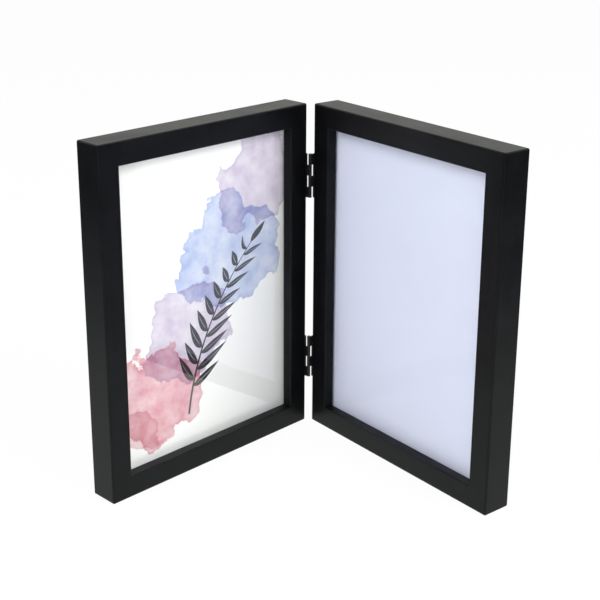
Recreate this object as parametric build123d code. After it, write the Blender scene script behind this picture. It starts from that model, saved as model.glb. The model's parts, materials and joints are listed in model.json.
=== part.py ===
"""Hinged double photo frame: two rabbeted, mitred frames on a pair of small butt hinges, standing as an open V.

Millimetres. +Z is up, the front of both frames faces -Y at an angle, and +X is to the viewer's right. The origin
is the centre of the underside of the bounding box.

Each frame is first built in its own stick coordinates: X runs along the width from the hinge end, Y runs back from
the front face, Z is up from the bottom edge. The right frame is turned into place about the hinge axis, and the
left frame is its mirror image, apart from the knuckles, which take the other places on the pins.
"""

import math
import os

from build123d import *

# Sheets that the frame holds: the standard 5 x 7 inch picture
sheet_width = 127.0
sheet_height = 177.8
sheet_clearance = 0.5

# Moulding
ledge_width = 4.0
face_width = 12.5
lip_thickness = 6.0
edge_radius = 1.0
sight_edge_radius = 0.4

# What lies behind the lip, from front to back
glass_thickness = 2.0
print_gap = 0.1
print_thickness = 0.3
pad_thickness = 6.0
board_thickness = 3.0
board_setback = 0.1

# V-nails across the mitres, driven in from the back
nail_inset = 3.0
nail_wing = 4.0
nail_thickness = 0.4
nail_depth = 7.0

# Hinges: the opening angle is that of the V
opening_angle = 83.0
hinge_length = 26.0
hinge_end_distance = 42.0
knuckle_count = 4
knuckle_gap = 0.2
leaf_thickness = 0.5
leaf_width = 8.0
leaf_corner_radius = 1.0
axis_standoff = 1.65
pin_radius = 0.45
pin_clearance = 0.05
pin_end_chamfer = 0.15
stop_clearance = 0.15

# Countersunk screws of the hinge leaves
leaf_screw_spacing = 14.0
leaf_screw_length = 8.0
leaf_screw_radius = 0.8
leaf_screw_head_radius = 1.6
leaf_screw_rim = 0.1
leaf_screw_tip = 1.6

# Turn buttons: each lies a share of the frame's height from its end of the stile
button_end_share = 0.3
button_length = 16.0
button_width = 6.0
button_thickness = 0.8
button_gap = 0.1
button_tip_length = 3.0
button_tip_lift = 0.9
button_hole_clearance = 0.08

# Pan head screws of the turn buttons
button_screw_length = 9.0
button_screw_radius = 1.0
button_screw_head_radius = 2.1
button_screw_head_height = 1.3
button_screw_dome_share = 0.7
button_screw_tip = 2.0

# Cross recess in a screw head, as shares of that head's radius
recess_reach_share = 0.6
recess_width_share = 0.22
recess_depth_share = 0.25

# One overrun for every cut
overrun = 1.0

# Worked out from the sizes above
pocket_width = sheet_width + 2 * sheet_clearance
pocket_height = sheet_height + 2 * sheet_clearance
sight_width = pocket_width - 2 * ledge_width
sight_height = pocket_height - 2 * ledge_width
frame_width = sight_width + 2 * face_width
frame_height = sight_height + 2 * face_width
back_width = face_width - ledge_width
glass_front = lip_thickness
print_front = glass_front + glass_thickness + print_gap
pad_front = print_front + print_thickness
board_front = pad_front + pad_thickness
frame_depth = board_front + board_thickness + board_setback
bore_radius = pin_radius + pin_clearance
knuckle_radius = bore_radius + leaf_thickness
knuckle_pitch = hinge_length / knuckle_count
hinge_heights = {"upper": frame_height - hinge_end_distance, "lower": hinge_end_distance}
button_end_distance = frame_height * button_end_share
button_heights = {"upper": frame_height - button_end_distance, "lower": button_end_distance}
right_knuckles = range(0, knuckle_count, 2)
left_knuckles = range(1, knuckle_count, 2)

LOW_CORNER = (Align.MIN, Align.MIN, Align.MIN)
LOW_MIDDLE = (Align.CENTER, Align.CENTER, Align.MIN)


def block(low, high):
    """Box between two opposite corners."""
    size = [b - a for a, b in zip(low, high)]
    return Pos(*low) * Box(*size, align=LOW_CORNER)


def prism(outline, start, length):
    """Outline of (x, z) points, carried back along Y from start by length."""
    points = [(x, start, z) for x, z in outline]
    face = make_face(Polyline(*points, close=True).edges())
    return extrude(face, amount=length, dir=(0, 1, 0))


def turned(profile):
    """Solid of revolution about Z from a half profile of (radius, height) points."""
    points = [(radius, 0, height) for radius, height in profile]
    return revolve(make_face(Polyline(*points, close=True).edges()), Axis.Z)


def corner_nail(corner_x, corner_z, x_way, z_way):
    """V-nail across one mitre: its bend is on the joint and a wing runs into each stick."""
    near = nail_inset - nail_thickness / 2
    far = nail_inset + nail_thickness / 2
    end = nail_inset + nail_wing
    outline = [(near, near), (end, near), (end, far), (far, far), (far, end), (near, end)]
    placed = [(corner_x + x_way * x, corner_z + z_way * z) for x, z in outline]
    return prism(placed, frame_depth - nail_depth, nail_depth)


def corner_nails():
    """The four V-nails of a frame."""
    return [
        corner_nail(0, 0, 1, 1),
        corner_nail(frame_width, 0, -1, 1),
        corner_nail(0, frame_height, 1, -1),
        corner_nail(frame_width, frame_height, -1, -1),
    ]


def driver_recess(head_radius, head_top):
    """Cross cut into a screw head, down from head_top."""
    reach = head_radius * recess_reach_share
    half_width = head_radius * recess_width_share / 2
    bottom = head_top - head_radius * recess_depth_share
    top = head_top + overrun
    along_x = block((-reach, -half_width, bottom), (reach, half_width, top))
    along_y = block((-half_width, -reach, bottom), (half_width, reach, top))
    return along_x + along_y


def leaf_screw_blank():
    """Hinge screw without its recess: flat head at height 0, point down."""
    cone_height = leaf_screw_head_radius - leaf_screw_radius
    return turned(
        [
            (0, 0),
            (leaf_screw_head_radius, 0),
            (leaf_screw_head_radius, -leaf_screw_rim),
            (leaf_screw_radius, -leaf_screw_rim - cone_height),
            (leaf_screw_radius, leaf_screw_tip - leaf_screw_length),
            (0, -leaf_screw_length),
        ]
    )


def button_screw_blank():
    """Button screw without its recess: underside of the pan head at height 0, point down."""
    shank = turned(
        [
            (0, 0),
            (button_screw_radius, 0),
            (button_screw_radius, button_screw_tip - button_screw_length),
            (0, -button_screw_length),
        ]
    )
    head = Cylinder(button_screw_head_radius, button_screw_head_height, align=LOW_MIDDLE)
    rim = head.edges().sort_by(Axis.Z)[-1]
    return shank + fillet(rim, button_screw_head_height * button_screw_dome_share)


def leaf_screw_places():
    """Where each hinge screw's head lies, flush with its leaf, with the screw pointing into the stile."""
    places = []
    for middle in hinge_heights.values():
        for way in (-1, 1):
            head = (-leaf_thickness, leaf_width / 2, middle + way * leaf_screw_spacing / 2)
            places.append(Plane(origin=head, x_dir=(0, 1, 0), z_dir=(-1, 0, 0)).location)
    return places


def button_places():
    """Pivot of each turn button on the back of the stiles: X there runs in over the board, Z runs back."""
    places = {}
    inset = back_width / 2
    for stile, pivot_x, way in (("hinge_side", inset, 1), ("outer", frame_width - inset, -1)):
        for level, height in button_heights.items():
            pivot = (pivot_x, frame_depth + button_gap, height)
            places[f"{stile}_{level}"] = Plane(origin=pivot, x_dir=(way, 0, 0), z_dir=(0, 1, 0)).location
    return places


def button_screw_places():
    """Seat of each pan head, a running gap above its button."""
    seat = Pos(0, 0, button_thickness + button_gap)
    return [place * seat for place in button_places().values()]


def moulding_ring():
    """The whole moulding in one piece: rounded outside, sight opening, rabbet from the back, and screw holes."""
    ring = block((0, 0, 0), (frame_width, frame_depth, frame_height))
    ring = fillet(ring.edges(), min(edge_radius, back_width / 2))
    ring -= block(
        (face_width, -overrun, face_width),
        (face_width + sight_width, frame_depth + overrun, face_width + sight_height),
    )
    ring -= block(
        (back_width, lip_thickness, back_width),
        (back_width + pocket_width, frame_depth + overrun, back_width + pocket_height),
    )
    front = ring.faces().sort_by(Axis.Y)[0]
    ring = fillet(front.inner_wires()[0].edges(), min(sight_edge_radius, lip_thickness / 2))
    ring -= corner_nails()
    ring -= [place * leaf_screw_blank() for place in leaf_screw_places()]
    return ring - [place * button_screw_blank() for place in button_screw_places()]


def mitre_outlines():
    """Region of each stick, between its two mitres, as (x, z) points."""
    out_low, out_right, out_top = -overrun, frame_width + overrun, frame_height + overrun
    in_low = face_width + overrun
    in_right, in_top = frame_width - in_low, frame_height - in_low
    low_left, low_right = (out_low, out_low), (out_right, out_low)
    top_left, top_right = (out_low, out_top), (out_right, out_top)
    inner_low_left, inner_low_right = (in_low, in_low), (in_right, in_low)
    inner_top_left, inner_top_right = (in_low, in_top), (in_right, in_top)
    return {
        "top_rail": (top_left, inner_top_left, inner_top_right, top_right),
        "bottom_rail": (low_left, low_right, inner_low_right, inner_low_left),
        "outer_stile": (low_right, top_right, inner_top_right, inner_low_right),
        "hinge_stile": (low_left, inner_low_left, inner_top_left, top_left),
    }


def sticks():
    """The four mitred sticks of a frame."""
    ring = moulding_ring()
    depth = frame_depth + 2 * overrun
    return {name: ring & prism(outline, -overrun, depth) for name, outline in mitre_outlines().items()}


def sheet(front, thickness):
    """A sheet that lies in the rabbet, centred in it."""
    low = back_width + sheet_clearance
    return block((low, front, low), (low + sheet_width, front + thickness, low + sheet_height))


def knuckle_profile():
    """Section of a rolled knuckle and the strip that joins it to its leaf, seen along the pin."""
    centre_x, centre_y = -knuckle_radius, -axis_standoff
    meet_x = -leaf_thickness
    meet_y = centre_y + math.sqrt(knuckle_radius**2 - (meet_x - centre_x) ** 2)
    curl = ThreePointArc((meet_x, meet_y), (centre_x - knuckle_radius, centre_y), (0, centre_y))
    strip = Polyline((0, centre_y), (0, 0), (meet_x, 0), (meet_x, meet_y))
    outline = make_face(curl.edges() + strip.edges())
    return outline - Pos(centre_x, centre_y) * Circle(bore_radius)


def hinge_leaf(middle, knuckles):
    """Leaf on the stile's end face, with its rolled knuckles at the given places, counted from the top."""
    bottom, top = middle - hinge_length / 2, middle + hinge_length / 2
    plate = block((-leaf_thickness, 0, bottom), (0, leaf_width, top))
    rear = plate.edges().filter_by(Axis.X).group_by(Axis.Y)[-1]
    leaf = fillet(rear, leaf_corner_radius)
    knuckle = extrude(knuckle_profile(), amount=knuckle_gap - knuckle_pitch)
    for place in knuckles:
        leaf += Pos(0, 0, top - place * knuckle_pitch - knuckle_gap / 2) * knuckle
    return leaf - [place * leaf_screw_blank() for place in leaf_screw_places()]


def hinge_pin(middle):
    """Pin through all knuckles of a hinge, its ends broken and flush with the barrel."""
    pin = Cylinder(pin_radius, hinge_length - knuckle_gap)
    pin = chamfer(pin.edges().filter_by(GeomType.CIRCLE), pin_end_chamfer)
    return Pos(-knuckle_radius, -axis_standoff, middle) * pin


def turn_button():
    """Steel turn button: pivot hole at the origin, long end towards +X and bent up at its tip."""
    end = button_width / 2
    tip = button_length - end
    bend = tip - button_tip_length
    side = Polyline(
        (-end, 0, 0),
        (bend, 0, 0),
        (tip, 0, button_tip_lift),
        (tip, 0, button_tip_lift + button_thickness),
        (bend, 0, button_thickness),
        (-end, 0, button_thickness),
        close=True,
    )
    strip = extrude(make_face(side.edges()), amount=end, both=True, dir=(0, 1, 0))
    outline = Pos((tip - end) / 2, 0) * SlotOverall(button_length, button_width)
    button = strip & extrude(outline, amount=button_tip_lift + button_thickness)
    hole = button_screw_radius + button_hole_clearance
    return button - Cylinder(hole, 2 * (button_thickness + overrun))


def frame_pieces(knuckles):
    """Every piece of one frame in stick coordinates, by name."""
    pieces = sticks()
    pieces["corner_v_nails"] = Compound(corner_nails())
    pieces["glass"] = sheet(glass_front, glass_thickness)
    pieces["picture_sheet"] = sheet(print_front, print_thickness)
    pieces["corrugated_pad"] = sheet(pad_front, pad_thickness)
    pieces["backing_board"] = sheet(board_front, board_thickness)
    leaf_screw = leaf_screw_blank() - driver_recess(leaf_screw_head_radius, 0)
    pieces["hinge_screws"] = Compound([place * leaf_screw for place in leaf_screw_places()])
    recess = driver_recess(button_screw_head_radius, button_screw_head_height)
    button_screw = button_screw_blank() - recess
    pieces["button_screws"] = Compound([place * button_screw for place in button_screw_places()])
    for level, middle in hinge_heights.items():
        pieces[f"{level}_hinge_leaf"] = hinge_leaf(middle, knuckles)
    for name, place in button_places().items():
        pieces[f"{name}_turn_button"] = place * turn_button()
    return pieces


def fold_out():
    """Carries stick coordinates to the right frame's place in the V, with the hinge axis on the Z axis."""
    square_to_view = 90
    return Rot(0, 0, opening_angle / 2 - square_to_view) * Pos(knuckle_radius, axis_standoff, 0)


def fold_range():
    """Turn of the right frame from the V, in degrees: folded face to face, and just past flat."""
    flat = 180
    closing_room = axis_standoff - stop_clearance
    past_parallel = math.degrees(math.atan(closing_room / (frame_width + knuckle_radius)))
    opening_room = knuckle_radius - leaf_thickness - stop_clearance
    past_flat = math.degrees(math.atan(opening_room / (axis_standoff + leaf_width)))
    return -opening_angle - 2 * past_parallel, flat - opening_angle + 2 * past_flat


def whole_model():
    """Every node in its place about the hinge axis."""
    nodes = {}
    place = fold_out()
    for name, piece in frame_pieces(right_knuckles).items():
        nodes[f"right_{name}"] = place * piece
    for name, piece in frame_pieces(left_knuckles).items():
        nodes[f"left_{name}"] = mirror(place * piece, about=Plane.YZ)
    for level, middle in hinge_heights.items():
        nodes[f"{level}_hinge_pin"] = place * hinge_pin(middle)
    return nodes


def print_places(shift_y):
    """Joint and mount places in the finished frame, in millimetres: the left frame's are their mirror images."""
    move = Pos(0, shift_y, 0) * fold_out()
    places = {
        "hinge axis": Pos(-knuckle_radius, -axis_standoff, 0),
        "foot": Pos(frame_width / 2, frame_depth / 2, 0),
        "picture seat": Pos(frame_width / 2, print_front, frame_height / 2),
    }
    for name, place in {**places, **button_places()}.items():
        print("right", name, [round(value, 4) for value in (move * place).position])
    half_angle = math.radians(opening_angle / 2)
    print("right back direction", round(math.cos(half_angle), 6), round(math.sin(half_angle), 6))
    print("fold range", [round(value, 3) for value in fold_range()])


def main():
    """Builds, centres and writes every node."""
    os.makedirs("parts", exist_ok=True)
    nodes = whole_model()
    box = Compound(list(nodes.values())).bounding_box()
    shift_y = -(box.min.Y + box.max.Y) / 2
    for name, piece in nodes.items():
        export_step(Pos(0, shift_y, 0) * piece, f"parts/{name}.step")
    print("nodes", len(nodes), "overall", box.size)
    print("one frame", frame_width, frame_depth, frame_height)
    print_places(shift_y)


main()
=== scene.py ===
"""Hinged double photo frame in satin black, dressed and set in a plain studio.

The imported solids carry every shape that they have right. This script gives them their finishes, builds the
fluted card pads behind the pictures, and sets up the floor, the lamps and the camera. Lengths are metres,
except in node groups, which work in millimetres because a photo frame's textures are that fine.
"""

import json
import logging
import math
from collections.abc import Callable
from dataclasses import dataclass
from enum import Enum

import bpy
from mathutils import Matrix, Vector

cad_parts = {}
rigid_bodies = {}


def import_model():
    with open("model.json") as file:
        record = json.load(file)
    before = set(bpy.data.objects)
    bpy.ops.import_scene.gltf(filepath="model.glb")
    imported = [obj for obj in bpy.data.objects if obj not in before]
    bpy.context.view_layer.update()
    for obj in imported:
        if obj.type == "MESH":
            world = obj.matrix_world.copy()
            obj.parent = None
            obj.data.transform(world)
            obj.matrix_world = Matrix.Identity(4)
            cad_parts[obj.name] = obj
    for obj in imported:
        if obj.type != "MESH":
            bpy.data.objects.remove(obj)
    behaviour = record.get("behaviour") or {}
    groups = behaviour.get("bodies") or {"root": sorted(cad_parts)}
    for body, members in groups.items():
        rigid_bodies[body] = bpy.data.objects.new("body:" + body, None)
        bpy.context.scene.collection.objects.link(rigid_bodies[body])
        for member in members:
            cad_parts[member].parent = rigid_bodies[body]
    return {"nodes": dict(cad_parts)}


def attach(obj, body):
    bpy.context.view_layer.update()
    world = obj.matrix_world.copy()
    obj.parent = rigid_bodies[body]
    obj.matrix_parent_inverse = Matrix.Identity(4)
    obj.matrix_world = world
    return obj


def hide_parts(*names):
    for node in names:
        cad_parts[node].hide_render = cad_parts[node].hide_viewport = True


log = logging.getLogger("photo_frame")

MM_PER_METRE = 1000.0

Colour = tuple[float, float, float]
Span = tuple[float, float]
Socket = bpy.types.NodeSocket
Outputs = bpy.types.NodeOutputs
Value = float | tuple | Socket
Piece = bpy.types.Object

WHITE: Colour = (1.0, 1.0, 1.0)

# Results of a step that goes up, and of one that goes down
RISING: Span = (0.0, 1.0)
FALLING: Span = (1.0, 0.0)

# A noise texture's mean, and where most and nearly all of its values lie
NOISE_MEAN = 0.5
NOISE_MOST: Span = (0.3, 0.7)
NOISE_ALL: Span = (0.25, 0.75)


class Side(Enum):
    """The two frames, by the viewer's left and right."""

    LEFT = "left"
    RIGHT = "right"

    @property
    def body(self) -> str:
        """Name of the CAD body that this frame's fixed pieces belong to."""
        return f"{self.value}_frame"

    @property
    def way(self) -> int:
        """Sign of X on this side of the hinge axis."""
        return 1 if self is Side.RIGHT else -1

    def named(self, piece: str) -> str:
        """Name of this frame's node for a piece."""
        return f"{self.value}_{piece}"


@dataclass(frozen=True)
class FrameSizes:
    """Sizes of one frame and its place about the hinge axis, as the solids have them.

    Stick coordinates run along the width from the hinge end (X), back from the front face (Y) and up (Z).
    """

    width: float = 0.145
    height: float = 0.1958
    depth: float = 0.0175
    face: float = 0.0125
    opening_angle: float = math.radians(83.0)
    axis_y: float = 0.0481211
    knuckle_radius: float = 0.001
    axis_standoff: float = 0.00165

    @property
    def turn(self) -> float:
        """Angle that brings the right frame in the V back to stick coordinates."""
        return math.pi / 2 - self.opening_angle / 2

    @property
    def offset(self) -> Vector:
        """What is added after that turn."""
        turned = Matrix.Rotation(self.turn, 3, "Z") @ Vector((0.0, self.axis_y, 0.0))
        return -turned - Vector((self.knuckle_radius, self.axis_standoff, 0.0))

    def stand(self, side: Side) -> Matrix:
        """Finds what carries a piece from stick coordinates, mirrored on the left, to its place in the V.

        Args:
            side: the frame that the piece belongs to.

        Returns:
            The matrix that moves it there.
        """
        into_stick = Vector((side.way * self.knuckle_radius, self.axis_standoff, 0.0))
        turn = Matrix.Rotation(-side.way * self.turn, 4, "Z")
        return Matrix.Translation((0.0, self.axis_y, 0.0)) @ turn @ Matrix.Translation(into_stick)


SIZES = FrameSizes()


@dataclass(frozen=True)
class Noise:
    """Settings of one noise texture, with its scale per millimetre."""

    scale: float = 1.0
    detail: float = 2.0
    roughness: float = 0.5


class Graph:
    """Adds and joins the nodes of one material, world or node group."""

    def __init__(self, tree: bpy.types.NodeTree) -> None:
        """Keeps the node tree of a material, world or group, which the nodes go into."""
        self.tree = tree

    @classmethod
    def fresh(cls, owner: bpy.types.Material | bpy.types.World) -> "Graph":
        """Clears away the first nodes of a material or world.

        Args:
            owner: the material or world.

        Returns:
            Its graph, with nothing in it.
        """
        owner.use_nodes = True
        owner.node_tree.nodes.clear()
        return cls(owner.node_tree)

    def node(
        self, kind: str, inputs: dict[str | int, Value] | None = None, **settings: object
    ) -> bpy.types.Node:
        """Adds one node.

        Args:
            kind: its Blender type name.
            inputs: value or socket for each input, by name or number.
            settings: its own settings, such as operation.

        Returns:
            The new node.
        """
        made = self.tree.nodes.new(kind)
        for name, value in settings.items():
            setattr(made, name, value)
        for name, value in (inputs or {}).items():
            self.feed(made.inputs[name], value)
        return made

    def feed(self, socket: Socket, value: Value) -> None:
        """Links a socket to an input, or writes a plain value there.

        Args:
            socket: the input.
            value: what it gets, where a colour may be three numbers.
        """
        if isinstance(value, Socket):
            self.tree.links.new(value, socket)
        elif isinstance(value, tuple) and socket.type == "RGBA" and len(value) == 3:
            socket.default_value = (*value, 1.0)
        else:
            socket.default_value = value

    def math(self, operation: str, *values: Value, clamp: bool = False) -> Socket:
        """Adds a Math node on one to three values and returns its result."""
        inputs = dict(enumerate(values))
        return self.node("ShaderNodeMath", inputs, operation=operation, use_clamp=clamp).outputs[0]

    def plus(self, first: Value, second: Value) -> Socket:
        """Sum of two values."""
        return self.math("ADD", first, second)

    def minus(self, first: Value, second: Value) -> Socket:
        """First value less the second."""
        return self.math("SUBTRACT", first, second)

    def times(self, *values: Value) -> Socket:
        """Multiplies values.

        Args:
            values: one or more of them.

        Returns:
            Their product.
        """
        result = values[0]
        for value in values[1:]:
            result = self.math("MULTIPLY", result, value)
        return result

    def plus_times(self, first: Value, second: Value, added: Value) -> Socket:
        """Product of two values, with a third added."""
        return self.math("MULTIPLY_ADD", first, second, added)

    def largest(self, *values: Value) -> Socket:
        """Compares values.

        Args:
            values: one or more of them.

        Returns:
            The largest.
        """
        result = values[0]
        for value in values[1:]:
            result = self.math("MAXIMUM", result, value)
        return result

    def step(self, value: Value, between: Span, to: Span = RISING) -> Socket:
        """Smooth step of a value between two others, to the results before and after it."""
        inputs = dict(enumerate((value, *between, *to)))
        return self.node("ShaderNodeMapRange", inputs, interpolation_type="SMOOTHSTEP").outputs[0]

    def span(self, value: Value, between: Span, to: Span = RISING) -> Socket:
        """Straight map of a value in the same way, clamped at both ends."""
        return self.node("ShaderNodeMapRange", dict(enumerate((value, *between, *to)))).outputs[0]

    def mix(self, share: Value, first: Value, second: Value, blend: str = "MIX") -> Socket:
        """Mixes two colours by the share of the second, in one of Blender's blend modes."""
        inputs = {0: share, 6: first, 7: second}
        return self.node("ShaderNodeMix", inputs, data_type="RGBA", blend_type=blend).outputs[2]

    def shaded(self, colour: Value, level: Socket) -> Socket:
        """Colour multiplied by a grey level."""
        return self.mix(1.0, colour, self.vector(level, level, level), "MULTIPLY")

    def either(self, choice: Socket, first: Socket, second: Socket) -> Socket:
        """The first value where the choice is 0, the second where it is 1."""
        return self.node("ShaderNodeMix", {0: choice, 2: first, 3: second}, data_type="FLOAT").outputs[0]

    def noise(self, vector: Value, kind: Noise, scale: Value | None = None) -> Socket:
        """Adds a three-dimensional noise texture, about 0.5 on average.

        Args:
            vector: where it is read.
            kind: its settings.
            scale: what stands in for the kind's own scale, if anything.

        Returns:
            Its value.
        """
        inputs = {
            "Vector": vector,
            "Scale": kind.scale if scale is None else scale,
            "Detail": kind.detail,
            "Roughness": kind.roughness,
        }
        return self.node("ShaderNodeTexNoise", inputs).outputs[0]

    def parts(self, vector: Value) -> tuple[Socket, ...]:
        """X, Y and Z of a vector."""
        return tuple(self.node("ShaderNodeSeparateXYZ", {0: vector}).outputs)

    def vector(self, x: Value = 0.0, y: Value = 0.0, z: Value = 0.0) -> Socket:
        """Vector of three values."""
        return self.node("ShaderNodeCombineXYZ", {0: x, 1: y, 2: z}).outputs[0]

    def place(self, group: bpy.types.NodeTree, **inputs: Value) -> Outputs:
        """Places a node group and returns its outputs. Names of inputs have underscores for spaces."""
        named = {name.replace("_", " ").capitalize(): value for name, value in inputs.items()}
        return self.node("ShaderNodeGroup", named, node_tree=group).outputs

    def layered(self, share: Value, first: Socket, second: Socket) -> Socket:
        """Mixes two shaders by the share of the second."""
        return self.node("ShaderNodeMixShader", {0: share, 1: first, 2: second}).outputs[0]


class Kind(Enum):
    """Kinds of socket that a node group has."""

    NUMBER = "NodeSocketFloat"
    VECTOR = "NodeSocketVector"


class Effect:
    """A shader node group that several materials share, built once under its name."""

    name = ""
    inputs: dict[str, float] = {}
    outputs: dict[str, Kind] = {}

    @classmethod
    def group(cls) -> bpy.types.NodeTree:
        """Builds the group the first time that it is asked for.

        Returns:
            The finished group.
        """
        if cls.name in bpy.data.node_groups:
            return bpy.data.node_groups[cls.name]
        tree = bpy.data.node_groups.new(cls.name, "ShaderNodeTree")
        for label, value in cls.inputs.items():
            made = tree.interface.new_socket(name=label, in_out="INPUT", socket_type=Kind.NUMBER.value)
            made.default_value = value
        for label, kind in cls.outputs.items():
            tree.interface.new_socket(name=label, in_out="OUTPUT", socket_type=kind.value)
        graph = Graph(tree)
        asked = graph.node("NodeGroupInput").outputs
        graph.node("NodeGroupOutput", dict(cls.build(graph, asked)))
        return tree

    @classmethod
    def build(cls, graph: Graph, asked: Outputs) -> dict[str, Socket]:
        """Adds the group's nodes.

        Args:
            graph: the group's graph.
            asked: its inputs.

        Returns:
            A socket for each output.
        """
        raise NotImplementedError


class StickPlaces(Effect):
    """Where a point lies on its frame, in millimetres of stick coordinates, the same on both frames.

    The side shift keeps the two frames' noise apart.
    """

    name = "stick_places"
    outputs = {"Place": Kind.VECTOR, "Grain": Kind.VECTOR, "Mitre": Kind.NUMBER, "Arris": Kind.NUMBER}
    side_shift = 171.0
    grain_squeeze = 0.04
    mitre_fade: Span = (0.03, 0.16)
    arris_fade: Span = (0.15, 0.75)

    @classmethod
    def build(cls, graph: Graph, asked: Outputs) -> dict[str, Socket]:
        """Folds the left frame onto the right one, and finds grain direction, mitres and arrises.

        Args:
            graph: the group's graph.
            asked: its inputs, of which it has none.

        Returns:
            The place, the place drawn out along the grain, and masks of the mitres and arrises.
        """
        x, y, z = graph.parts(graph.node("ShaderNodeTexCoord").outputs["Object"])
        folded = graph.vector(graph.math("ABSOLUTE", x), y, z)
        turned = graph.node(
            "ShaderNodeMapping",
            {
                "Vector": folded,
                "Location": tuple(MM_PER_METRE * SIZES.offset),
                "Rotation": (0.0, 0.0, SIZES.turn),
                "Scale": (MM_PER_METRE,) * 3,
            },
        ).outputs[0]
        across, back, up = graph.parts(turned)
        side = graph.times(graph.math("SIGN", x), cls.side_shift)
        from_side = cls.nearer(graph, across, SIZES.width)
        from_end = cls.nearer(graph, up, SIZES.height)
        from_face = cls.nearer(graph, back, SIZES.depth)
        on_rail = graph.math("GREATER_THAN", from_side, from_end)
        along = graph.either(on_rail, up, across)
        beside = graph.either(on_rail, across, up)
        grain = graph.vector(graph.plus(beside, side), back, graph.times(along, cls.grain_squeeze))
        gap = graph.math("ABSOLUTE", graph.minus(from_side, from_end))
        mitre = graph.step(gap, cls.mitre_fade, FALLING)
        from_edge = graph.math("MINIMUM", from_side, from_end)
        nearest = graph.math("MINIMUM", graph.math("MAXIMUM", from_side, from_end), from_face)
        outer = graph.math("MAXIMUM", nearest, from_edge)
        from_sight = graph.math("ABSOLUTE", graph.minus(from_edge, MM_PER_METRE * SIZES.face))
        sight = graph.math("MAXIMUM", from_sight, from_face)
        arris = graph.step(graph.math("MINIMUM", outer, sight), cls.arris_fade, FALLING)
        place = graph.vector(graph.plus(across, side), back, up)
        return {"Place": place, "Grain": grain, "Mitre": mitre, "Arris": arris}

    @staticmethod
    def nearer(graph: Graph, value: Socket, length: float) -> Socket:
        """Distance to the nearer end of a length, in millimetres."""
        return graph.math("MINIMUM", value, graph.minus(MM_PER_METRE * length, value))


class PaintSkin(Effect):
    """Sprayed paint over close-grained wood: orange peel, grain beneath it, joints, and arrises with a
    painted highlight all along them and rubbed wear in patches.
    """

    name = "paint_skin"
    inputs = {"Peel": 1.0, "Grain": 1.0}
    outputs = {"Height": Kind.NUMBER, "Cloud": Kind.NUMBER, "Speckle": Kind.NUMBER, "Arris": Kind.NUMBER}
    peel_noise = Noise(0.9, 3.0, 0.55)
    peel_height = 0.012
    pore_noise = Noise(1.6, 4.0, 0.62)
    pore_fade: Span = (0.35, 0.7)
    pore_height = 0.006
    joint_depth = 0.015
    cloud_noise = Noise(0.05, 3.0, 0.6)
    speckle_noise = Noise(1.3, 3.0, 0.7)
    rub_noise = Noise(0.22, 3.0, 0.7)
    rub_fade: Span = (0.42, 0.78)
    rub_share: Span = (0.5, 1.0)

    @classmethod
    def build(cls, graph: Graph, asked: Outputs) -> dict[str, Socket]:
        """Adds up the heights in millimetres, with a slow cloud and a fine speckle for the shine.

        Args:
            graph: the group's graph.
            asked: how strong the peel and the grain are.

        Returns:
            Height, cloud and speckle, and a mask of the arrises: half strength all along them for a painted
            highlight, full in patches of rubbed wear.
        """
        places = graph.place(StickPlaces.group())
        peel = graph.noise(places["Place"], cls.peel_noise)
        peel = graph.times(peel, cls.peel_height, asked["Peel"])
        pores = graph.step(graph.noise(places["Grain"], cls.pore_noise), cls.pore_fade)
        pores = graph.times(pores, cls.pore_height, asked["Grain"])
        joint = graph.times(places["Mitre"], -cls.joint_depth)
        # Half strength along every arris is a painted highlight; the noise raises it to full in patches of
        # rubbed wear.
        sheen_and_rub = graph.step(graph.noise(places["Place"], cls.rub_noise), cls.rub_fade, cls.rub_share)
        return {
            "Height": graph.plus(graph.plus(peel, pores), joint),
            "Cloud": graph.noise(places["Place"], cls.cloud_noise),
            "Speckle": graph.noise(places["Grain"], cls.speckle_noise),
            "Arris": graph.times(places["Arris"], sheen_and_rub),
        }


class Fibre(Effect):
    """Pressed fibre of paper, card or board: fine flecks and a soft mottle."""

    name = "fibre"
    inputs = {"Fineness": 3.0, "Stretch": 1.0}
    outputs = {"Fleck": Kind.NUMBER, "Mottle": Kind.NUMBER}
    fleck_noise = Noise(detail=4.0, roughness=0.65)
    mottle_noise = Noise(0.06, 3.0, 0.6)

    @classmethod
    def build(cls, graph: Graph, asked: Outputs) -> dict[str, Socket]:
        """Adds two layers of noise on the piece, one stretched along the width as fibres lie.

        Args:
            graph: the group's graph.
            asked: how fine the flecks are, and how far they are stretched.

        Returns:
            The flecks and the slow mottle.
        """
        x, y, z = graph.parts(graph.place(StickPlaces.group())["Place"])
        stretched = graph.vector(graph.math("DIVIDE", x, asked["Stretch"]), y, z)
        return {
            "Fleck": graph.noise(stretched, cls.fleck_noise, asked["Fineness"]),
            "Mottle": graph.noise(graph.vector(x, y, z), cls.mottle_noise),
        }


class Scuffs(Effect):
    """Fine scuffs on plated or painted metal, with a slow change of shine."""

    name = "scuffs"
    inputs = {"Spread": 1.0}
    outputs = {"Scuff": Kind.NUMBER, "Bloom": Kind.NUMBER}
    narrowing = 6.0
    scuff_noise = Noise(detail=3.0, roughness=0.6)
    bloom_noise = Noise(0.35, 2.0, 0.5)

    @classmethod
    def build(cls, graph: Graph, asked: Outputs) -> dict[str, Socket]:
        """Adds noise stretched up the piece for scuffs, and plain noise for the bloom.

        Args:
            graph: the group's graph.
            asked: the scuffs' scale per millimetre.

        Returns:
            The scuffs and the bloom.
        """
        place = graph.node("ShaderNodeTexCoord").outputs["Object"]
        scaled = graph.node("ShaderNodeVectorMath", {0: place, 3: MM_PER_METRE}, operation="SCALE")
        x, y, z = graph.parts(scaled.outputs[0])
        drawn = graph.vector(graph.times(x, cls.narrowing), graph.times(y, cls.narrowing), z)
        return {
            "Scuff": graph.noise(drawn, cls.scuff_noise, asked["Spread"]),
            "Bloom": graph.noise(graph.vector(x, y, z), cls.bloom_noise),
        }


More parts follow.
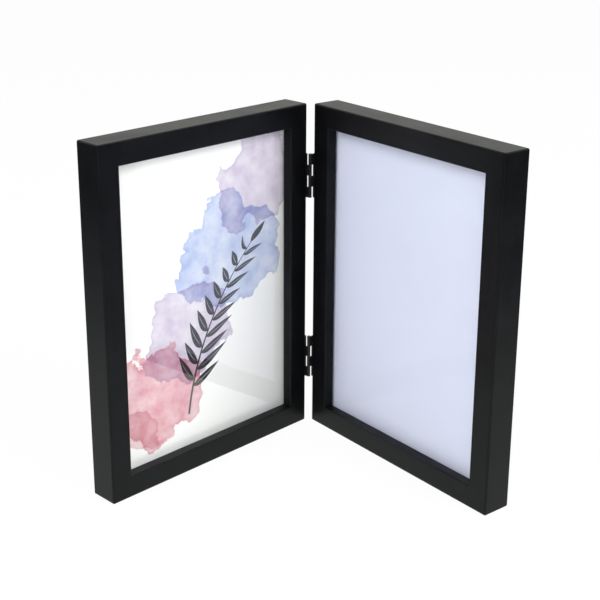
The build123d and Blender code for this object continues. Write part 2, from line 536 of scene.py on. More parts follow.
class WashBlot(Effect):
    """One watercolour blot: ragged edge, darker rim and uneven pigment. Places are in millimetres."""

    name = "wash_blot"
    inputs = {"Across": 0.0, "Up": 0.0, "Middle across": 0.0, "Middle up": 0.0, "Radius": 30.0, "Seed": 0.0}
    outputs = {"Pigment": Kind.NUMBER}
    seed_step = 13.7
    lobe_noise = Noise(0.045, 2.0, 0.5)
    lobe_reach = 46.0
    fringe_noise = Noise(0.22, 5.0, 0.62)
    fringe_reach = 9.0
    edge_fade: Span = (-0.7, 0.3)
    rim_fade: Span = (-4.5, -0.4)
    rim_pigment = 0.16
    cloud_noise = Noise(0.09, 4.0, 0.6)
    cloud_pigment: Span = (0.45, 0.95)

    @classmethod
    def build(cls, graph: Graph, asked: Outputs) -> dict[str, Socket]:
        """Takes the distance from the middle, pushes it in and out by noise, and steps it at the radius.

        Args:
            graph: the group's graph.
            asked: the point on the print, and the blot's middle, radius and seed.

        Returns:
            How much pigment lies at the point.
        """
        point = graph.vector(asked["Across"], asked["Up"], graph.times(asked["Seed"], cls.seed_step))
        middle = graph.vector(asked["Middle across"], asked["Middle up"])
        flat = graph.vector(asked["Across"], asked["Up"])
        away = graph.node("ShaderNodeVectorMath", {0: flat, 1: middle}, operation="DISTANCE")
        lobes = cls.swing(graph, graph.noise(point, cls.lobe_noise), cls.lobe_reach)
        fringe = cls.swing(graph, graph.noise(point, cls.fringe_noise), cls.fringe_reach)
        pushed = graph.plus(away.outputs["Value"], graph.plus(lobes, fringe))
        edge = graph.minus(pushed, asked["Radius"])
        inside = graph.step(edge, cls.edge_fade, FALLING)
        rim = graph.times(graph.step(edge, cls.rim_fade), cls.rim_pigment)
        cloud = graph.span(graph.noise(point, cls.cloud_noise), NOISE_MOST, cls.cloud_pigment)
        return {"Pigment": graph.math("MULTIPLY", inside, graph.plus(rim, cloud), clamp=True)}

    @staticmethod
    def swing(graph: Graph, value: Socket, reach: float) -> Socket:
        """Noise turned into a push of up to half of reach either way."""
        return graph.times(graph.minus(value, NOISE_MEAN), reach)


class LeafSprig(Effect):
    """Silhouette of a leafy sprig: bent stem, side leaves that shrink towards the tip, and an end leaf."""

    name = "leaf_sprig"
    inputs = {
        "Across": 0.0,
        "Up": 0.0,
        "Bend": 0.002,
        "Length": 80.0,
        "Pitch": 10.0,
        "Reach": 17.0,
        "Swell": 3.4,
    }
    outputs = {"Ink": Kind.NUMBER}
    leaf_rise = 0.55
    leaf_curl = 0.022
    stagger = 0.18
    shrink: Span = (1.0, 0.42)
    luck: Span = (0.84, 1.08)
    slimming = 0.7
    leaf_bulge = 0.8
    leaf_blur: Span = (0.0, 0.16)
    last_leaf = 0.93
    rib_side: Span = (0.12, 0.34)
    rib_end: Span = (0.9, 0.6)
    rib_root: Span = (0.1, 0.3)
    rib_paleness = 0.55
    stem_half: Span = (0.75, 0.35)
    stem_foot: Span = (-14.0, -13.5)
    stem_blur: Span = (0.0, 0.14)
    tip_start = 0.97
    tip_length = 13.0
    tip_bulge = 0.85
    tip_half = 2.5

    @classmethod
    def build(cls, graph: Graph, asked: Outputs) -> dict[str, Socket]:
        """Straightens the stem, then draws side leaves, stem and end leaf about it.

        Args:
            graph: the group's graph.
            asked: the point beside and up the sprig, and how the sprig grows.

        Returns:
            How much ink lies at the point.
        """
        up = asked["Up"]
        beside = graph.minus(asked["Across"], graph.times(up, up, asked["Bend"]))
        out = graph.math("ABSOLUTE", beside)
        leaves = cls.leaves(graph, asked, beside, out)
        climbed = graph.math("DIVIDE", up, asked["Length"])
        half = graph.span(climbed, RISING, cls.stem_half)
        stem = graph.step(graph.minus(half, out), cls.stem_blur)
        on_stem = graph.times(graph.step(up, cls.stem_foot), graph.math("LESS_THAN", climbed, 1.0))
        start = graph.times(asked["Length"], cls.tip_start)
        share = graph.math("DIVIDE", graph.minus(up, start), cls.tip_length)
        share = graph.math("MAXIMUM", graph.math("MINIMUM", share, 1.0), 0.0)
        tip = graph.times(cls.arch(graph, graph.math("POWER", share, cls.tip_bulge)), cls.tip_half)
        tip = graph.step(graph.minus(tip, out), cls.stem_blur)
        return {"Ink": graph.largest(leaves, graph.times(stem, on_stem), tip)}

    @classmethod
    def leaves(cls, graph: Graph, asked: Outputs, beside: Socket, out: Socket) -> Socket:
        """Draws side leaves with a pale rib, counted along a coordinate that climbs as they do.

        Args:
            graph: the group's graph.
            asked: the group's inputs.
            beside: distance from the bent stem, less than zero on its left.
            out: the same distance without its sign.

        Returns:
            How much of the leaves' ink lies at the point.
        """
        up, pitch = asked["Up"], asked["Pitch"]
        curl = graph.times(out, cls.leaf_curl)
        root = graph.minus(up, graph.plus_times(out, curl, graph.times(out, cls.leaf_rise)))
        stagger = graph.times(graph.math("SIGN", beside), graph.times(pitch, cls.stagger))
        turns = graph.math("DIVIDE", graph.plus(root, stagger), pitch)
        leaf = graph.math("FLOOR", turns)
        off = graph.minus(graph.minus(turns, leaf), 0.5)
        off = graph.math("ABSOLUTE", graph.times(off, pitch))
        seed = graph.plus(graph.times(leaf, 2.0), graph.math("SIGN", beside))
        chance = graph.node("ShaderNodeTexWhiteNoise", {"W": seed}, noise_dimensions="1D").outputs["Value"]
        gone = graph.math("DIVIDE", graph.times(leaf, pitch), asked["Length"])
        size = graph.times(graph.span(gone, RISING, cls.shrink), graph.span(chance, RISING, cls.luck))
        share = graph.math("DIVIDE", out, graph.times(asked["Reach"], size), clamp=True)
        swell = graph.times(asked["Swell"], graph.math("POWER", size, cls.slimming))
        blade = graph.times(cls.arch(graph, graph.math("POWER", share, cls.leaf_bulge)), swell)
        ink = graph.step(graph.minus(blade, off), cls.leaf_blur)
        low = graph.math("GREATER_THAN", turns, 0.0)
        high = graph.math("LESS_THAN", root, graph.times(asked["Length"], cls.last_leaf))
        rib = graph.times(graph.step(off, cls.rib_side, FALLING), graph.step(share, cls.rib_end))
        rib = graph.times(rib, graph.step(share, cls.rib_root), cls.rib_paleness)
        return graph.times(ink, graph.times(low, high), graph.minus(1.0, rib))

    @staticmethod
    def arch(graph: Graph, share: Socket) -> Socket:
        """Half sine from 0 to 1 and back, over a share from 0 to 1."""
        return graph.math("SINE", graph.times(share, math.pi))


class Finish:
    """Base of the finishes: each makes one material from its own values."""

    name: str
    shine: float
    depth: float

    def material(self) -> bpy.types.Material:
        """Makes the material the first time that it is asked for.

        Returns:
            The finished material.
        """
        if self.name in bpy.data.materials:
            return bpy.data.materials[self.name]
        made = bpy.data.materials.new(self.name)
        graph = Graph.fresh(made)
        graph.node("ShaderNodeOutputMaterial", {"Surface": self.surface(graph)})
        return made

    def surface(self, graph: Graph) -> Socket:
        """Adds the finish's nodes and returns its shader."""
        raise NotImplementedError

    def coat(self, graph: Graph, colour: Value, rough: Value, height: Socket, **more: Value) -> Socket:
        """Adds a principled shader with this finish's shine and relief.

        Args:
            graph: the material's graph.
            colour: its base colour.
            rough: its roughness.
            height: what the relief follows, in millimetres.
            more: its other inputs by name, with underscores for spaces.

        Returns:
            The shader.
        """
        inputs = {"Height": height, "Strength": self.depth, "Distance": 1.0 / MM_PER_METRE}
        more.update(normal=graph.node("ShaderNodeBump", inputs).outputs[0], specular_ior_level=self.shine)
        return self.principled(graph, base_color=colour, roughness=rough, **more)

    @staticmethod
    def principled(graph: Graph, **inputs: Value) -> Socket:
        """Adds a principled shader.

        Args:
            graph: the material's graph.
            inputs: its inputs by name, with underscores for spaces.

        Returns:
            The shader.
        """
        shader = graph.node("ShaderNodeBsdfPrincipled")
        names = {socket.name.lower().replace(" ", "_"): socket for socket in shader.inputs}
        for name, value in inputs.items():
            graph.feed(names[name], value)
        return shader.outputs[0]


@dataclass(frozen=True)
class SatinPaint(Finish):
    """Satin black paint on the wooden mouldings."""

    name: str = "satin_black_paint"
    body: Colour = (0.0030, 0.0032, 0.0039)
    # Lighter grey of the arrises: a painted highlight all along them, and rubbed paint in patches.
    worn_and_sheen: Colour = (0.0102, 0.0102, 0.0102)
    shine: float = 0.165
    first_surface: Colour = (0.92, 0.93, 1.0)
    roughness: Span = (0.35, 0.41)
    rubbed: float = 0.06
    speckle: float = 0.15
    mottle: Span = (0.55, 1.45)
    streak: float = 1.6
    peel: float = 1.6
    grain: float = 1.6
    depth: float = 0.5

    def surface(self, graph: Graph) -> Socket:
        """Near-black body with peel and grain in its relief, and clouds and speckle in its shine.

        Args:
            graph: the material's graph.

        Returns:
            The shader.
        """
        skin = graph.place(PaintSkin.group(), Peel=self.peel, Grain=self.grain)
        fleck = graph.minus(skin["Speckle"], NOISE_MEAN)
        rough = graph.span(skin["Cloud"], NOISE_MOST, self.roughness)
        rough = graph.plus_times(fleck, self.speckle, rough)
        level = graph.span(skin["Cloud"], NOISE_MOST, self.mottle)
        level = graph.plus_times(fleck, self.streak, level)
        # Lighter grey on the arrises: a painted highlight all along them, stronger where the paint is rubbed.
        colour = graph.mix(skin["Arris"], graph.shaded(self.body, level), self.worn_and_sheen)
        rough = graph.minus(rough, graph.times(skin["Arris"], self.rubbed))
        return self.coat(graph, colour, rough, skin["Height"], specular_tint=self.first_surface)


@dataclass(frozen=True)
class PictureGlass(Finish):
    """Clear picture glass. Lamps and bounced light pass through it unbent to the picture."""

    name: str = "picture_glass"
    tint: Colour = (0.985, 0.992, 0.985)
    passed: Colour = (0.96, 0.962, 0.955)
    ior: float = 1.5
    film: Span = (0.35, 0.75)
    roughness: Span = (0.0, 0.03)

    def surface(self, graph: Graph) -> Socket:
        """Glass with a faint film, swapped for a clear pane for shadow and diffuse rays.

        Args:
            graph: the material's graph.

        Returns:
            The shader.
        """
        film = graph.place(Fibre.group())["Mottle"]
        glass = self.principled(
            graph,
            base_color=self.tint,
            roughness=graph.span(film, self.film, self.roughness),
            ior=self.ior,
            transmission_weight=1.0,
        )
        clear = graph.node("ShaderNodeBsdfTransparent", {"Color": self.passed}).outputs[0]
        path = graph.node("ShaderNodeLightPath").outputs
        return graph.layered(graph.largest(path["Is Shadow Ray"], path["Is Diffuse Ray"]), glass, clear)


@dataclass(frozen=True)
class PlainPaper(Finish):
    """Pale lavender sheet with no print on it."""

    name: str = "lavender_paper"
    body: Colour = (0.66, 0.69, 0.845)
    roughness: float = 0.6
    shine: float = 0.3
    fineness: float = 2.2
    stretch: float = 1.6
    fleck: Span = (0.99, 1.01)
    mottle: Span = (0.992, 1.008)
    depth: float = 0.02

    def surface(self, graph: Graph) -> Socket:
        """Even colour with a breath of fibre.

        Args:
            graph: the material's graph.

        Returns:
            The shader.
        """
        fibre = graph.place(Fibre.group(), Fineness=self.fineness, Stretch=self.stretch)
        fleck = graph.span(fibre["Fleck"], NOISE_ALL, self.fleck)
        mottle = graph.span(fibre["Mottle"], NOISE_MOST, self.mottle)
        colour = graph.shaded(self.body, graph.times(fleck, mottle))
        return self.coat(graph, colour, self.roughness, fibre["Fleck"])


@dataclass(frozen=True)
class Blot:
    """Where one watercolour blot lies on the print, in millimetres from the frame's lower left corner."""

    across: float
    up: float
    radius: float
    colour: Colour
    strength: float
    seed: float


@dataclass(frozen=True)
class Sprig:
    """Where the sprig stands on the print and how it grows, in millimetres and degrees."""

    across: float
    up: float
    lean: float
    length: float
    bend: float
    pitch: float
    reach: float
    swell: float


ROSE: Colour = (0.67, 0.22, 0.30)
LILAC: Colour = (0.56, 0.47, 0.64)
SKY: Colour = (0.38, 0.47, 0.76)


@dataclass(frozen=True)
class PrintedPaper(Finish):
    """White sheet with a generic print: a diagonal drift of soft watercolour blots and one leafy sprig."""

    name: str = "botanical_print"
    body: Colour = (0.945, 0.942, 0.93)
    ink: Colour = (0.014, 0.015, 0.019)
    roughness: float = 0.5
    shine: float = 0.35
    fineness: float = 2.6
    stretch: float = 1.4
    fleck: Span = (0.985, 1.01)
    depth: float = 0.015
    blots: tuple[Blot, ...] = (
        Blot(34.0, 50.0, 30.0, ROSE, 1.0, 1.0),
        Blot(60.0, 80.0, 31.0, LILAC, 1.0, 2.0),
        Blot(92.0, 118.0, 34.0, SKY, 1.0, 3.0),
        Blot(110.0, 154.0, 27.0, LILAC, 1.0, 4.0),
        Blot(22.0, 32.0, 11.0, ROSE, 0.7, 5.0),
    )
    sprig: Sprig = Sprig(62.0, 44.0, -14.0, 88.0, 0.0035, 9.4, 18.0, 3.5)

    def surface(self, graph: Graph) -> Socket:
        """Layers pigment and ink on the paper in the order that a printer would.

        Args:
            graph: the material's graph.

        Returns:
            The shader.
        """
        across, up = self.on_sheet(graph)
        colour: Value = self.body
        for blot in self.blots:
            colour = self.washed(graph, colour, blot, across, up)
        colour = self.inked(graph, colour, across, up)
        fibre = graph.place(Fibre.group(), Fineness=self.fineness, Stretch=self.stretch)
        colour = graph.shaded(colour, graph.span(fibre["Fleck"], NOISE_ALL, self.fleck))
        return self.coat(graph, colour, self.roughness, fibre["Fleck"])

    @staticmethod
    def on_sheet(graph: Graph) -> tuple[Socket, Socket]:
        """Finds the place on the left frame as the viewer sees it.

        Args:
            graph: the material's graph.

        Returns:
            Millimetres from the frame's left edge, and up from its foot.
        """
        from_hinge, _, up = graph.parts(graph.place(StickPlaces.group())["Place"])
        hinge_end = MM_PER_METRE * SIZES.width - StickPlaces.side_shift
        return graph.minus(hinge_end, from_hinge), up

    @staticmethod
    def washed(graph: Graph, colour: Value, blot: Blot, across: Value, up: Value) -> Socket:
        """Washes one blot over a colour.

        Args:
            graph: the material's graph.
            colour: the colour beneath.
            blot: the blot's place and pigment.
            across: the place on the frame in millimetres, from its left edge.
            up: the same, from its foot.

        Returns:
            The colour with the pigment multiplied in.
        """
        pigment = graph.place(
            WashBlot.group(),
            across=across,
            up=up,
            middle_across=blot.across,
            middle_up=blot.up,
            radius=blot.radius,
            seed=blot.seed,
        )[0]
        return graph.mix(graph.times(pigment, blot.strength), colour, blot.colour, "MULTIPLY")

    def inked(self, graph: Graph, colour: Value, across: Value, up: Value) -> Socket:
        """Prints the sprig over a colour.

        Args:
            graph: the material's graph.
            colour: the colour beneath.
            across: the place on the frame in millimetres, from its left edge.
            up: the same, from its foot.

        Returns:
            The colour with the ink on it.
        """
        sprig = self.sprig
        lean = math.radians(sprig.lean)
        x = graph.minus(across, sprig.across)
        y = graph.minus(up, sprig.up)
        ink = graph.place(
            LeafSprig.group(),
            across=graph.plus_times(y, math.sin(lean), graph.times(x, math.cos(lean))),
            up=graph.plus_times(x, -math.sin(lean), graph.times(y, math.cos(lean))),
            bend=sprig.bend,
            length=sprig.length,
            pitch=sprig.pitch,
            reach=sprig.reach,
            swell=sprig.swell,
        )[0]
        return graph.mix(ink, colour, self.ink)


@dataclass(frozen=True)
class Hardboard(Finish):
    """Brown hardboard whose back shows the screen that it was pressed on."""

    name: str = "hardboard"
    light: Colour = (0.31, 0.19, 0.105)
    dark: Colour = (0.15, 0.085, 0.045)
    screen_pitch: float = 1.5
    screen_depth: float = 0.05
    fineness: float = 1.9
    stretch: float = 1.3
    strand_fineness: float = 0.7
    strand_stretch: float = 3.0
    fleck_fade: Span = (0.32, 0.68)
    strand_fade: Span = (0.4, 0.62)
    mottle_light: float = 0.45
    fleck_light: float = 0.3
    strand_light: float = 0.2
    # How far the colour follows the screen's relief: painted shade in its pits and painted light on its
    # crests.
    pit_light: float = 0.06
    fleck_height: float = 0.03
    roughness: Span = (0.62, 0.8)
    shine: float = 0.3
    depth: float = 0.6

    def surface(self, graph: Graph) -> Socket:
        """Fibre flecks in two browns, strands among them, and a grid of small pits, with painted shade in the
        pits and painted light on their crests.

        Args:
            graph: the material's graph.

        Returns:
            The shader.
        """
        fibre = graph.place(Fibre.group(), Fineness=self.fineness, Stretch=self.stretch)
        strands = graph.place(Fibre.group(), Fineness=self.strand_fineness, Stretch=self.strand_stretch)
        across, _, up = graph.parts(graph.place(StickPlaces.group())["Place"])
        turn = 2 * math.pi / self.screen_pitch
        wave_x = graph.math("SINE", graph.times(across, turn))
        wave_z = graph.math("SINE", graph.times(up, turn))
        pits = graph.times(wave_x, wave_z)
        fleck = graph.step(fibre["Fleck"], self.fleck_fade)
        strand = graph.step(strands["Fleck"], self.strand_fade)
        shade = graph.plus_times(fibre["Mottle"], self.mottle_light, graph.times(fleck, self.fleck_light))
        shade = graph.plus_times(strand, self.strand_light, shade)
        # Painted shade in the screen's pits, painted light on its crests.
        shade = graph.plus_times(pits, self.pit_light, shade)
        height = graph.plus_times(fleck, self.fleck_height, graph.times(pits, self.screen_depth))
        rough = graph.span(fleck, RISING, self.roughness)
        return self.coat(graph, graph.mix(shade, self.dark, self.light), rough, height)


@dataclass(frozen=True)
class KraftCard(Finish):
    """Kraft liner and fluting of the corrugated pad."""

    name: str = "kraft_card"
    light: Colour = (0.50, 0.35, 0.20)
    dark: Colour = (0.36, 0.24, 0.13)
    fineness: float = 1.8
    stretch: float = 4.0
    roughness: float = 0.85
    shine: float = 0.25
    depth: float = 0.08

    def surface(self, graph: Graph) -> Socket:
        """Kraft brown with long fibres.

        Args:
            graph: the material's graph.

        Returns:
            The shader.
        """
        fibre = graph.place(Fibre.group(), Fineness=self.fineness, Stretch=self.stretch)
        colour = graph.mix(graph.step(fibre["Fleck"], NOISE_MOST), self.dark, self.light)
        return self.coat(graph, colour, self.roughness, fibre["Fleck"])


@dataclass(frozen=True)
class Steel(Finish):
    """Sheet or turned steel with a painted or plated skin.

    The skin is metallic where it is plated, and a thin black paint where it is not.
    """

    name: str
    body: Colour
    tarnish: Colour
    metallic: float
    shine: float
    roughness: Span
    depth: float
    spread: float = 0.9
    tarnish_fade: Span = (0.35, 0.7)

    def surface(self, graph: Graph) -> Socket:
        """Colour clouded by tarnish, with scuffs in shine and relief.

        Args:
            graph: the material's graph.

        Returns:
            The shader.
        """
        scuffs = graph.place(Scuffs.group(), Spread=self.spread)
        cloud = graph.step(scuffs["Bloom"], self.tarnish_fade)
        colour = graph.mix(cloud, self.body, self.tarnish)
        rough = graph.span(scuffs["Scuff"], NOISE_MOST, self.roughness)
        return self.coat(graph, colour, rough, scuffs["Scuff"], metallic=self.metallic)


BLACK_HINGE = Steel(
    "black_hinge_steel", (0.006, 0.006, 0.0065), (0.010, 0.010, 0.010), 0.0, 0.45, (0.32, 0.44), 0.03
)
BLACK_SCREW = Steel(
    "black_screw_steel", (0.004, 0.004, 0.0045), (0.020, 0.020, 0.020), 0.0, 0.7, (0.18, 0.3), 0.02
)
ZINC_BUTTON = Steel("zinc_plate", (0.60, 0.60, 0.58), (0.48, 0.47, 0.44), 1.0, 0.5, (0.26, 0.42), 0.04)
ZINC_SCREW = Steel("bright_zinc", (0.68, 0.67, 0.64), (0.55, 0.54, 0.50), 1.0, 0.5, (0.18, 0.30), 0.03)
NAIL_STEEL = Steel("nail_steel", (0.42, 0.42, 0.43), (0.30, 0.29, 0.28), 1.0, 0.5, (0.3, 0.45), 0.04)


def dress(nodes: dict[str, Piece], name: str, finish: Finish) -> None:
    """Gives a CAD node its finish.

    Args:
        nodes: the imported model's objects by name.
        name: the node.
        finish: what it is dressed in.
    """
    piece = nodes[name]
    piece.material_slots[0].material = finish.material()
    log.info("dressed %s in %s", name, finish.name)


@dataclass(frozen=True)
class Moulding:
    """The four mitred sticks of one frame and the V-nails across their joints."""

    side: Side
    sticks: tuple[str, ...] = ("top_rail", "bottom_rail", "outer_stile", "hinge_stile")
    paint: SatinPaint = SatinPaint()

    def dress(self, nodes: dict[str, Piece]) -> None:
        """Paints the sticks and leaves the nails bare steel.

        Args:
            nodes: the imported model's objects by name.
        """
        for stick in self.sticks:
            dress(nodes, self.side.named(stick), self.paint)
        dress(nodes, self.side.named("corner_v_nails"), NAIL_STEEL)


class Bench:
    """Modelling by hand: primitives, operators on parts that are selected by place, and modifiers."""

    @staticmethod
    def clear() -> None:
        """Leaves nothing selected."""
        bpy.ops.object.select_all(action="DESELECT")

    @classmethod
    def grid(cls, name: str, middle: Vector, width: float, height: float, columns: int) -> Piece:
        """Adds an upright sheet that faces the front, divided into columns.

        Args:
            name: the new object's name.
            middle: its middle.
            width: its size along X.
            height: its size along Z.
            columns: how many faces it has along X.

        Returns:
            The sheet, as the only object selected.
        """
        cls.clear()
        bpy.ops.mesh.primitive_grid_add(x_subdivisions=columns, y_subdivisions=1, size=1.0)
        sheet = bpy.context.object
        sheet.name = name
        bpy.ops.transform.resize(value=(width, height, 1.0))
        sheet.rotation_euler = (math.pi / 2, 0.0, 0.0)
        sheet.location = middle
        bpy.ops.object.transform_apply(location=True, rotation=True, scale=True)
        return sheet

    @staticmethod
    def select(piece: Piece, wanted: Callable[[Vector], bool]) -> None:
        """Selects a piece's vertices by their places, and nothing else of it.

        Args:
            piece: the object.
            wanted: says of a vertex's place whether it is selected.
        """
        for part in (*piece.data.polygons, *piece.data.edges):
            part.select = False
        for vertex in piece.data.vertices:
            vertex.select = wanted(vertex.co)

    @classmethod
    def shift(cls, piece: Piece, wanted: Callable[[Vector], bool], by: Vector) -> None:
        """Moves some of a piece's vertices.

        Args:
            piece: the object, which is the active one.
            wanted: says of a vertex's place whether it moves.
            by: how far they move.
        """
        cls.select(piece, wanted)
        bpy.ops.object.mode_set(mode="EDIT")
        bpy.ops.mesh.select_mode(type="VERT")
        bpy.ops.transform.translate(value=by)
        bpy.ops.object.mode_set(mode="OBJECT")

    @staticmethod
    def modify(piece: Piece, kind: str, **settings: object) -> None:
        """Adds one modifier and applies it.

        Args:
            piece: the object, which is the active one.
            kind: the modifier's Blender type name.
            settings: its own settings, such as thickness.
        """
        made = piece.modifiers.new(kind.lower(), kind)
        for name, value in settings.items():
            setattr(made, name, value)
        bpy.ops.object.modifier_apply(modifier=made.name)

    @classmethod
    def join(cls, name: str, pieces: list[Piece]) -> Piece:
        """Joins pieces into one object.

        Args:
            name: the joined object's name.
            pieces: what is joined.

        Returns:
            The joined object.
        """
        cls.clear()
        for piece in pieces:
            piece.select_set(True)
        bpy.context.view_layer.objects.active = pieces[0]
        bpy.ops.object.join()
        whole = bpy.context.object
        whole.name = name
        return whole

    @staticmethod
    def settle(piece: Piece, stand: Matrix) -> None:
        """Carries a piece to its place and writes that place into its mesh."""
        piece.matrix_world = stand @ piece.matrix_world
        bpy.ops.object.transform_apply(location=True, rotation=True, scale=True)


@dataclass(frozen=True)
class Flute:
    """One fluted layer of a card pad: how deep it is, and its waves across the pad."""

    depth: float
    waves: int


@dataclass(frozen=True)
class CardPad:
    """Double-wall corrugated card that presses a picture to its glass: three liners with waves between.

    Rounding is how far past its crest a wave is pulled, because subdivision draws it back.
    """

    side: Side
    width: float = 0.127
    height: float = 0.1778
    clearance: float = 0.009
    front: float = 0.0084
    liner: float = 0.0003
    wall: float = 0.0002
    layers: tuple[Flute, ...] = (Flute(0.0030, 16), Flute(0.0021, 20))
    rounding: float = 1.5
    subdivisions: int = 2
    smooth_angle: float = math.radians(40.0)
    card: KraftCard = KraftCard()

    def middle(self, back: float) -> Vector:
        """Middle of a sheet that lies back from the front face, on this side's half of stick coordinates."""
        across = self.side.way * (self.clearance + self.width / 2)
        return Vector((across, back, self.clearance + self.height / 2))

    def build(self) -> None:
        """Builds liners and waves from front to back, joins them and puts the pad in its frame."""
        parts = []
        back = self.front
        for number, layer in enumerate(self.layers):
            parts.append(self.flat(f"liner_{number}", back))
            back += self.liner
            parts.append(self.waved(f"flutes_{number}", back, layer))
            back += layer.depth
        parts.append(self.flat("liner_back", back))
        pad = Bench.join(self.side.named("card_pad"), parts)
        Bench.settle(pad, SIZES.stand(self.side))
        bpy.ops.object.shade_smooth_by_angle(angle=self.smooth_angle)
        pad.data.materials.clear()
        pad.data.materials.append(self.card.material())
        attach(pad, self.side.body)
        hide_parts(self.side.named("corrugated_pad"))
        log.info("built %s, %d faces", pad.name, len(pad.data.polygons))

    def flat(self, name: str, back: float) -> Piece:
        """Makes one liner, thickened backwards from its front face.

        Args:
            name: its name until the pad is joined.
            back: how far its front face lies back.

        Returns:
            The liner.
        """
        liner = Bench.grid(name, self.middle(back), self.width, self.height, 1)
        Bench.modify(liner, "SOLIDIFY", thickness=self.liner, offset=-1.0)
        return liner

    def waved(self, name: str, back: float, layer: Flute) -> Piece:
        """Makes one fluted layer. The quarters of each wave are pulled out in turn, then rounded.

        Args:
            name: its name until the pad is joined.
            back: how far its front lies back.
            layer: its depth and its waves.

        Returns:
            The layer.
        """
        columns = 4 * layer.waves
        sheet = Bench.grid(name, self.middle(back + layer.depth / 2), self.width, self.height, columns)
        quarter = self.width / columns
        low = self.middle(0.0).x - self.width / 2
        pull = Vector((0.0, self.rounding * (layer.depth - self.wall) / 2, 0.0))
        Bench.shift(sheet, lambda place: round((place.x - low) / quarter) % 4 == 0, -pull)
        Bench.shift(sheet, lambda place: round((place.x - low) / quarter) % 4 == 2, pull)
        Bench.modify(sheet, "SUBSURF", levels=self.subdivisions, render_levels=self.subdivisions)
        Bench.modify(sheet, "SOLIDIFY", thickness=self.wall, offset=0.0)
        return sheet


@dataclass(frozen=True)
class PictureStack:
    """What lies in one frame's rabbet: glass, picture, card pad and backing board."""

    side: Side

    @property
    def picture(self) -> tuple[Finish, str]:
        """Chooses this side's sheet: the left one is printed, the right one is plain.

        Returns:
            Its finish and its slot.
        """
        if self.side is Side.LEFT:
            return PrintedPaper(), "printed_sheet"
        return PlainPaper(), "plain_sheet"

    @property
    def pane(self) -> PictureGlass:
        """Chooses this side's glass: the right one shows no reflection, as non-reflecting glass does.

        Returns:
            Its finish.
        """
        if self.side is Side.LEFT:
            return PictureGlass()
        return PictureGlass(name="low_reflection_glass", ior=1.12)

    def dress(self, nodes: dict[str, Piece]) -> None:
        """Finishes the sheets that the solids have right, and puts a fluted pad in place of its plain slab.

        Args:
            nodes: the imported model's objects by name.
        """
        sheet, slot = self.picture
        dress(nodes, self.side.named("glass"), self.pane)
        dress(nodes, self.side.named("picture_sheet"), sheet)
        CardPad(self.side).build()
        dress(nodes, self.side.named("backing_board"), Hardboard())


@dataclass(frozen=True)
class HingeSet:
    """The pair of butt hinges: leaves and screws on each frame, and the pins between them."""

    levels: tuple[str, ...] = ("upper", "lower")

    def dress(self, nodes: dict[str, Piece]) -> None:
        """Paints every piece of the hinges black.

        Args:
            nodes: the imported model's objects by name.
        """
        for side in Side:
            for level in self.levels:
                dress(nodes, side.named(f"{level}_hinge_leaf"), BLACK_HINGE)
            dress(nodes, side.named("hinge_screws"), BLACK_SCREW)
        for level in self.levels:
            dress(nodes, f"{level}_hinge_pin", BLACK_HINGE)


@dataclass(frozen=True)
class BackFittings:
    """Turn buttons that hold one frame's board in, and their screws."""

    side: Side
    places: tuple[str, ...] = ("hinge_side_lower", "hinge_side_upper", "outer_lower", "outer_upper")

    def dress(self, nodes: dict[str, Piece]) -> None:
        """Plates the buttons with zinc, and the turned screws brighter.

        Args:
            nodes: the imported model's objects by name.
        """
        for place in self.places:
            dress(nodes, self.side.named(f"{place}_turn_button"), ZINC_BUTTON)
        dress(nodes, self.side.named("button_screws"), ZINC_SCREW)


@dataclass(frozen=True)
class Softbox:
    """One soft area lamp, aimed at the middle of the frame, that doesn't show as a bright patch in gloss."""

    name: str
    place: tuple[float, float, float]
    size: Span
    watts: float

    def build(self) -> None:
        """Adds the lamp."""
        lamp = bpy.data.lights.new(self.name, "AREA")
        lamp.shape = "RECTANGLE"
        lamp.size, lamp.size_y = self.size
        lamp.energy = self.watts
        placed = bpy.data.objects.new(self.name, lamp)
        placed.location = self.place
        aim = Vector((0.0, 0.0, SIZES.height / 2)) - placed.location
        placed.rotation_euler = aim.to_track_quat("-Z", "Y").to_euler()
        placed.visible_glossy = False
        bpy.context.scene.collection.objects.link(placed)
        log.info("lamp %s, %.1f W", self.name, self.watts)


